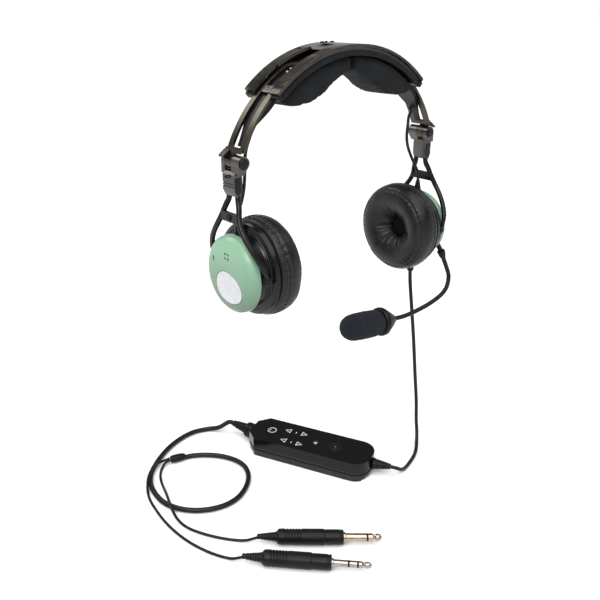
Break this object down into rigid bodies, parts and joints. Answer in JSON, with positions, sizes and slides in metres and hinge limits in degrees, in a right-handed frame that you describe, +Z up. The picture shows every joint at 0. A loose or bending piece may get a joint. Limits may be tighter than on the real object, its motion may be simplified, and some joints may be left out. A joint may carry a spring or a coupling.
{
  "type": "aviation headset",
  "caption": "Padded headband on height sliders, folding yokes, tilting round ear cups, a boom microphone and a cord with control module and plugs.",
  "frame": {"origin": "middle of the line between the two ears, which is the tilt axes' height", "axes": "+X the wearer's left, -Y the way the wearer faces, +Z up"},
  "size_m": [0.2791, 0.2507, 0.3746],
  "materials": {
    "bronze_metal": "bronze-tinted satin metal",
    "grey_metal": "grey satin cast metal",
    "black_metal": "black satin coating",
    "screw_steel": "bright turned steel",
    "black_plastic": "black moulded plastic",
    "gloss_plastic": "gloss black plastic",
    "green_cover": "sage green satin",
    "white_badge": "plain silver-white plate",
    "leatherette": "soft black leatherette with stitched seams",
    "pad_fabric": "black knitted cover over foam",
    "mic_foam": "dark open-cell foam",
    "cord_jacket": "black satin cord jacket",
    "circuit_board": "green solder mask",
    "plug_metal": "plated brass"
  },
  "bodies": {
    "left_yoke": {"left_yoke_block": "grey_metal", "left_yoke_frame": "black_metal", "left_hinge_pin": "black_metal", "left_front_pivot_screw": "screw_steel", "left_rear_pivot_screw": "screw_steel", "main_cord": "cord_jacket", "main_cord_relief": "black_plastic", "module_top_shell": "gloss_plastic", "module_bottom_shell": "black_plastic", "module_board": "circuit_board", "battery_cells": "screw_steel", "plug_cord_relief": "black_plastic", "plug_cord": "cord_jacket", "cord_splitter": "black_plastic", "phones_lead": "cord_jacket", "mic_lead": "cord_jacket", "phones_plug_handle": "black_plastic", "phones_plug_shaft": "plug_metal", "mic_plug_handle": "black_plastic", "mic_plug_shaft": "plug_metal"},
    "left_cup": {"left_ear_pad": "leatherette", "left_speaker": "black_plastic", "left_cup_housing": "black_plastic", "left_cup_cover": "green_cover", "left_cup_badge": "white_badge", "main_cord_gland": "black_plastic"},
    "mic_boom": {"boom_sleeve": "black_plastic", "boom_gooseneck": "black_metal", "mic_body": "black_plastic", "mic_windscreen": "mic_foam"},
    "left_slider": {"left_slider_strip": "bronze_metal", "left_slider_foot": "bronze_metal", "left_crossover_cable": "cord_jacket"},
    "headband": {"headband_frame": "bronze_metal", "pad_carrier": "grey_metal", "left_slider_stop": "black_metal", "right_slider_stop": "black_metal", "left_head_pad": "pad_fabric", "right_head_pad": "pad_fabric"},
    "right_slider": {"right_slider_strip": "bronze_metal", "right_slider_foot": "bronze_metal", "right_crossover_cable": "cord_jacket"},
    "right_yoke": {"right_yoke_block": "grey_metal", "right_yoke_frame": "black_metal", "right_hinge_pin": "black_metal", "right_front_pivot_screw": "screw_steel", "right_rear_pivot_screw": "screw_steel"},
    "right_cup": {"right_ear_pad": "leatherette", "right_speaker": "black_plastic", "right_cup_housing": "black_plastic", "right_cup_cover": "green_cover", "right_cup_badge": "white_badge"},
    "battery_door": {"battery_door": "black_plastic"},
    "power_button": {"power_button": "black_plastic"},
    "wireless_button": {"wireless_button": "black_plastic"},
    "left_volume_up": {"left_volume_up": "black_plastic"},
    "left_volume_down": {"left_volume_down": "black_plastic"},
    "right_volume_up": {"right_volume_up": "black_plastic"},
    "right_volume_down": {"right_volume_down": "black_plastic"}
  },
  "joints": [
    {"name": "left_tilt", "type": "hinge", "parent": "left_yoke", "child": "left_cup", "pos_m": [0.0954, 0, 0], "axis": [0, 1, 0], "range_deg": [-8, 8], "deforming": ["main_cord", "left_crossover_cable"]},
    {"name": "boom_swivel", "type": "hinge", "parent": "left_cup", "child": "mic_boom", "pos_m": [0.1091, -0.015, -0.017], "axis": [-1, 0, 0], "range_deg": [-10, 60]},
    {"name": "left_fold", "type": "hinge", "parent": "left_yoke", "child": "left_slider", "pos_m": [0.0977, 0, 0.0803], "axis": [0, 1, 0], "range_deg": [-15, 5], "deforming": ["left_crossover_cable"]},
    {"name": "left_height", "type": "hinge", "parent": "left_slider", "child": "headband", "pos_m": [0, 0, 0.0445], "axis": [0, 1, 0], "range_deg": [-8, 14], "deforming": ["left_crossover_cable"]},
    {"name": "right_height", "type": "hinge", "parent": "headband", "child": "right_slider", "pos_m": [0, 0, 0.0445], "axis": [0, -1, 0], "range_deg": [-14, 8], "deforming": ["right_crossover_cable"]},
    {"name": "right_fold", "type": "hinge", "parent": "right_slider", "child": "right_yoke", "pos_m": [-0.0977, 0, 0.0803], "axis": [0, -1, 0], "range_deg": [-5, 15], "deforming": ["right_crossover_cable"]},
    {"name": "right_tilt", "type": "hinge", "parent": "right_yoke", "child": "right_cup", "pos_m": [-0.0954, 0, 0], "axis": [0, 1, 0], "range_deg": [-8, 8], "deforming": ["right_crossover_cable"]},
    {"name": "power_button_press", "type": "slide", "parent": "left_yoke", "child": "power_button", "axis": [0, 0, -1], "range_m": [0, 0.0008], "stiffness_N_per_m": 500},
    {"name": "wireless_button_press", "type": "slide", "parent": "left_yoke", "child": "wireless_button", "axis": [0, 0, -1], "range_m": [0, 0.0008], "stiffness_N_per_m": 500},
    {"name": "left_volume_up_press", "type": "slide", "parent": "left_yoke", "child": "left_volume_up", "axis": [0, 0, -1], "range_m": [0, 0.0008], "stiffness_N_per_m": 500},
    {"name": "left_volume_down_press", "type": "slide", "parent": "left_yoke", "child": "left_volume_down", "axis": [0, 0, -1], "range_m": [0, 0.0008], "stiffness_N_per_m": 500},
    {"name": "right_volume_up_press", "type": "slide", "parent": "left_yoke", "child": "right_volume_up", "axis": [0, 0, -1], "range_m": [0, 0.0008], "stiffness_N_per_m": 500},
    {"name": "right_volume_down_press", "type": "slide", "parent": "left_yoke", "child": "right_volume_down", "axis": [0, 0, -1], "range_m": [0, 0.0008], "stiffness_N_per_m": 500},
    {"name": "battery_door_slide", "type": "slide", "parent": "left_yoke", "child": "battery_door", "axis": [0.421, -0.907, 0], "range_m": [0, 0.012]}
  ]
}
